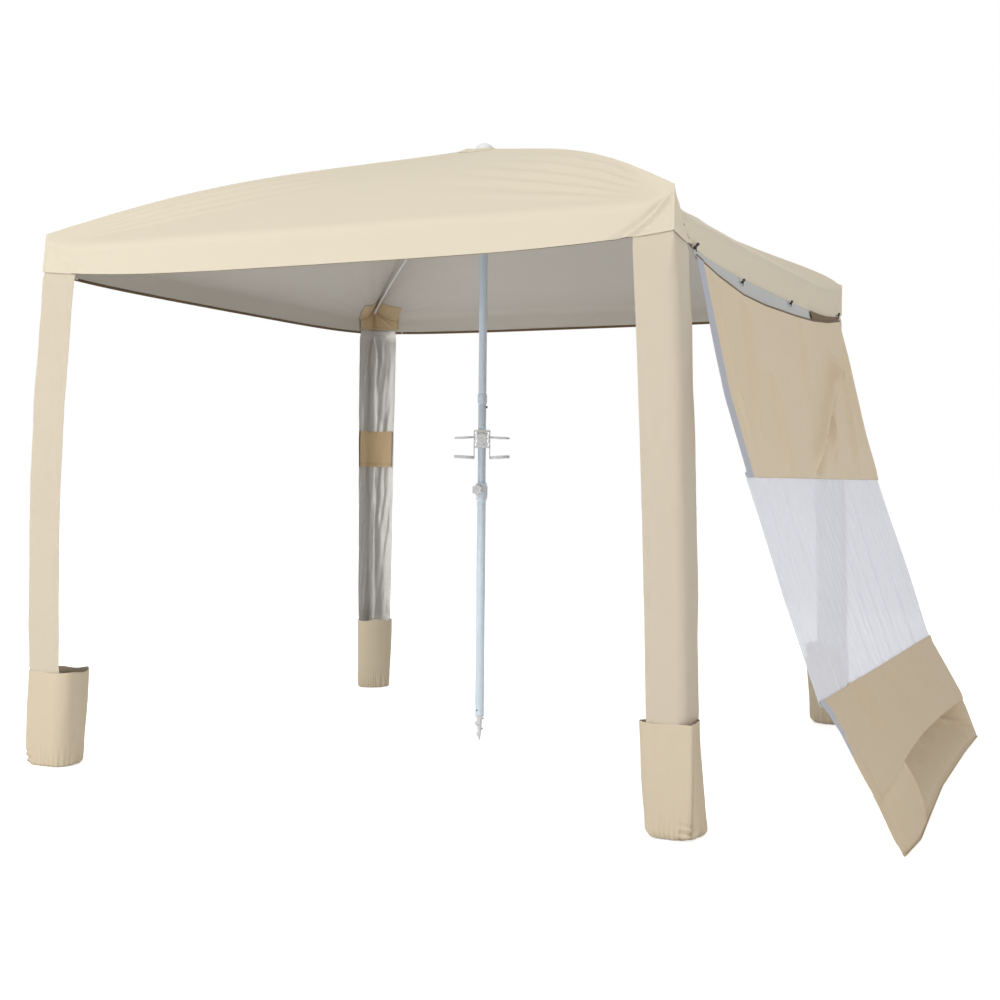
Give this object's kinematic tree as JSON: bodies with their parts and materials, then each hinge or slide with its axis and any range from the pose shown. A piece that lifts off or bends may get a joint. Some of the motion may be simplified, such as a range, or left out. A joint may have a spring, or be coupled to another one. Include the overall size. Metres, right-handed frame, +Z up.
{
  "type": "beach tent",
  "caption": "Square beach canopy on a central umbrella pole with fabric legs, sand pockets, a cup holder and a sloping side wall with a mesh window.",
  "frame": {"origin": "the tip of the sand anchor on the ground, on the pole's axis", "axes": "+Z up along the pole, +X toward the side wall, -Y toward the front"},
  "size_m": [2.6022, 2.0227, 2.0235],
  "materials": {
    "canopy_cloth": "beige coated polyester, silver inside",
    "pocket_cloth": "beige polyester of the sand pockets",
    "tan_cloth": "darker beige reinforcement cloth",
    "silver_cloth": "silver coated side of the cloth",
    "white_mesh": "fine white mesh",
    "brown_hook_loop": "brown hook-and-loop tape",
    "black_plastic": "black moulded plastic",
    "pole_tube": "pale blue-white powder coat on steel tube",
    "white_rod": "white glass-fibre rod",
    "white_strut": "white painted steel wire",
    "white_plastic": "white moulded plastic",
    "steel": "bare steel"
  },
  "bodies": {
    "frame": {"upper_pole": "pole_tube", "middle_pole": "pole_tube", "joint_plug": "steel", "joint_collar": "white_plastic", "lock_spring": "steel", "top_hub": "white_plastic", "crown_washer": "white_plastic", "finial_cap": "white_plastic", "sand_pocket_fl": "pocket_cloth", "sand_pocket_fr": "pocket_cloth", "sand_pocket_bl": "pocket_cloth", "sand_pocket_br": "pocket_cloth", "wall_sand_sleeve": "pocket_cloth", "leg_fl": "canopy_cloth", "leg_fr": "canopy_cloth", "leg_bl": "canopy_cloth", "leg_br": "canopy_cloth", "leg_band_fl": "tan_cloth", "leg_band_fr": "tan_cloth", "leg_band_bl": "tan_cloth", "leg_band_br": "tan_cloth"},
    "lower_section": {"lower_pole": "pole_tube", "sand_anchor": "white_plastic", "height_clamp": "white_plastic"},
    "height_knob_body": {"height_knob": "white_plastic"},
    "lock_button_body": {"lock_button": "black_plastic"},
    "cup_holder_body": {"cup_holder": "white_plastic"},
    "cup_knob_body": {"cup_holder_knob": "white_plastic"},
    "runner_body": {"runner": "white_plastic"},
    "release_button_body": {"release_button": "white_plastic"},
    "wall_body": {"wall_header_strip": "silver_cloth", "wall_upper_panel": "canopy_cloth", "wall_mesh": "white_mesh", "wall_lower_panel": "canopy_cloth", "hook_loop_patch": "brown_hook_loop", "wall_toggle_1": "black_plastic", "wall_toggle_2": "black_plastic", "wall_toggle_3": "black_plastic", "wall_toggle_4": "black_plastic"},
    "rib_body_fl": {"rib_fl": "white_rod", "rib_tip_fl": "white_plastic", "canopy_quarter_fl": "canopy_cloth", "corner_patch_fl": "tan_cloth"},
    "strut_body_fl": {"strut_fl": "white_strut"},
    "rib_body_fr": {"rib_fr": "white_rod", "rib_tip_fr": "white_plastic", "canopy_quarter_fr": "canopy_cloth", "corner_patch_fr": "tan_cloth"},
    "strut_body_fr": {"strut_fr": "white_strut"},
    "rib_body_bl": {"rib_bl": "white_rod", "rib_tip_bl": "white_plastic", "canopy_quarter_bl": "canopy_cloth", "corner_patch_bl": "tan_cloth"},
    "strut_body_bl": {"strut_bl": "white_strut"},
    "rib_body_br": {"rib_br": "white_rod", "rib_tip_br": "white_plastic", "canopy_quarter_br": "canopy_cloth", "corner_patch_br": "tan_cloth"},
    "strut_body_br": {"strut_br": "white_strut"}
  },
  "joints": [
    {"name": "fold_fr", "type": "hinge", "parent": "frame", "child": "rib_body_fr", "pos_m": [0.02475, -0.02475, 1.955], "axis": [0.7071, 0.7071, 0], "range_deg": [0, 52], "deforming": ["canopy_quarter_fr", "leg_fr", "leg_band_fr"]},
    {"name": "strut_swing_fr", "type": "hinge", "parent": "rib_body_fr", "child": "strut_body_fr", "pos_m": [0.2741, -0.2741, 1.88254], "axis": [-0.7071, -0.7071, 0], "range_deg": [0, 104]},
    {"name": "fold_fl", "type": "hinge", "parent": "frame", "child": "rib_body_fl", "pos_m": [-0.02475, -0.02475, 1.955], "axis": [0.7071, -0.7071, 0], "range_deg": [0, 52], "deforming": ["canopy_quarter_fl", "leg_fl", "leg_band_fl"]},
    {"name": "strut_swing_fl", "type": "hinge", "parent": "rib_body_fl", "child": "strut_body_fl", "pos_m": [-0.2741, -0.2741, 1.88254], "axis": [-0.7071, 0.7071, 0], "range_deg": [0, 104]},
    {"name": "fold_bl", "type": "hinge", "parent": "frame", "child": "rib_body_bl", "pos_m": [-0.02475, 0.02475, 1.955], "axis": [-0.7071, -0.7071, 0], "range_deg": [0, 52], "deforming": ["canopy_quarter_bl", "leg_bl", "leg_band_bl"]},
    {"name": "strut_swing_bl", "type": "hinge", "parent": "rib_body_bl", "child": "strut_body_bl", "pos_m": [-0.2741, 0.2741, 1.88254], "axis": [0.7071, 0.7071, 0], "range_deg": [0, 104]},
    {"name": "fold_br", "type": "hinge", "parent": "frame", "child": "rib_body_br", "pos_m": [0.02475, 0.02475, 1.955], "axis": [-0.7071, 0.7071, 0], "range_deg": [0, 52], "deforming": ["canopy_quarter_br", "leg_br", "leg_band_br"]},
    {"name": "strut_swing_br", "type": "hinge", "parent": "rib_body_br", "child": "strut_body_br", "pos_m": [0.2741, 0.2741, 1.88254], "axis": [0.7071, -0.7071, 0], "range_deg": [0, 104]},
    {"name": "runner_slide", "type": "slide", "parent": "frame", "child": "runner_body", "axis": [0, 0, -1], "range_m": [0, 0.5001]},
    {"name": "wall_lean", "type": "hinge", "parent": "frame", "child": "wall_body", "pos_m": [1.475, 0, 0.15], "axis": [0, -1, 0], "range_deg": [0, 30], "deforming": ["wall_upper_panel", "wall_mesh", "wall_lower_panel", "wall_header_strip", "hook_loop_patch"]},
    {"name": "height_slide", "type": "slide", "parent": "frame", "child": "lower_section", "axis": [0, 0, -1], "range_m": [-0.07, 0.2]},
    {"name": "height_knob_turn", "type": "hinge", "parent": "lower_section", "child": "height_knob_body", "pos_m": [0.00029, -0.028, 0.853], "axis": [0.0105, -0.9999, 0], "range_deg": [0, 360]},
    {"name": "lock_press", "type": "slide", "parent": "frame", "child": "lock_button_body", "axis": [-0.9074, -0.4202, 0], "range_m": [0, 0.003], "stiffness_N_per_m": 600, "springref_m": -0.002, "deforming": ["lock_spring"]},
    {"name": "cup_holder_slide", "type": "slide", "parent": "frame", "child": "cup_holder_body", "axis": [0, 0, -1], "range_m": [-0.065, 0.07]},
    {"name": "cup_knob_turn", "type": "hinge", "parent": "cup_holder_body", "child": "cup_knob_body", "pos_m": [0.00904, -0.01951, 1.024], "axis": [0.4202, -0.9074, 0], "range_deg": [0, 360]},
    {"name": "release_press", "type": "slide", "parent": "runner_body", "child": "release_button_body", "axis": [-0.4226, 0.9063, 0], "range_m": [0, 0.003], "stiffness_N_per_m": 500, "springref_m": -0.002}
  ],
  "couplings": [
    {"joint": "strut_swing_fr", "follows": "fold_fr", "ratio": 2},
    {"joint": "fold_fl", "follows": "fold_fr", "ratio": 1},
    {"joint": "strut_swing_fl", "follows": "fold_fr", "ratio": 2},
    {"joint": "fold_bl", "follows": "fold_fr", "ratio": 1},
    {"joint": "strut_swing_bl", "follows": "fold_fr", "ratio": 2},
    {"joint": "fold_br", "follows": "fold_fr", "ratio": 1},
    {"joint": "strut_swing_br", "follows": "fold_fr", "ratio": 2},
    {"joint": "runner_slide", "follows": "fold_fr", "m_per_rad": 0.55098},
    {"joint": "wall_lean", "follows": "fold_fr", "ratio": 0.57686}
  ]
}
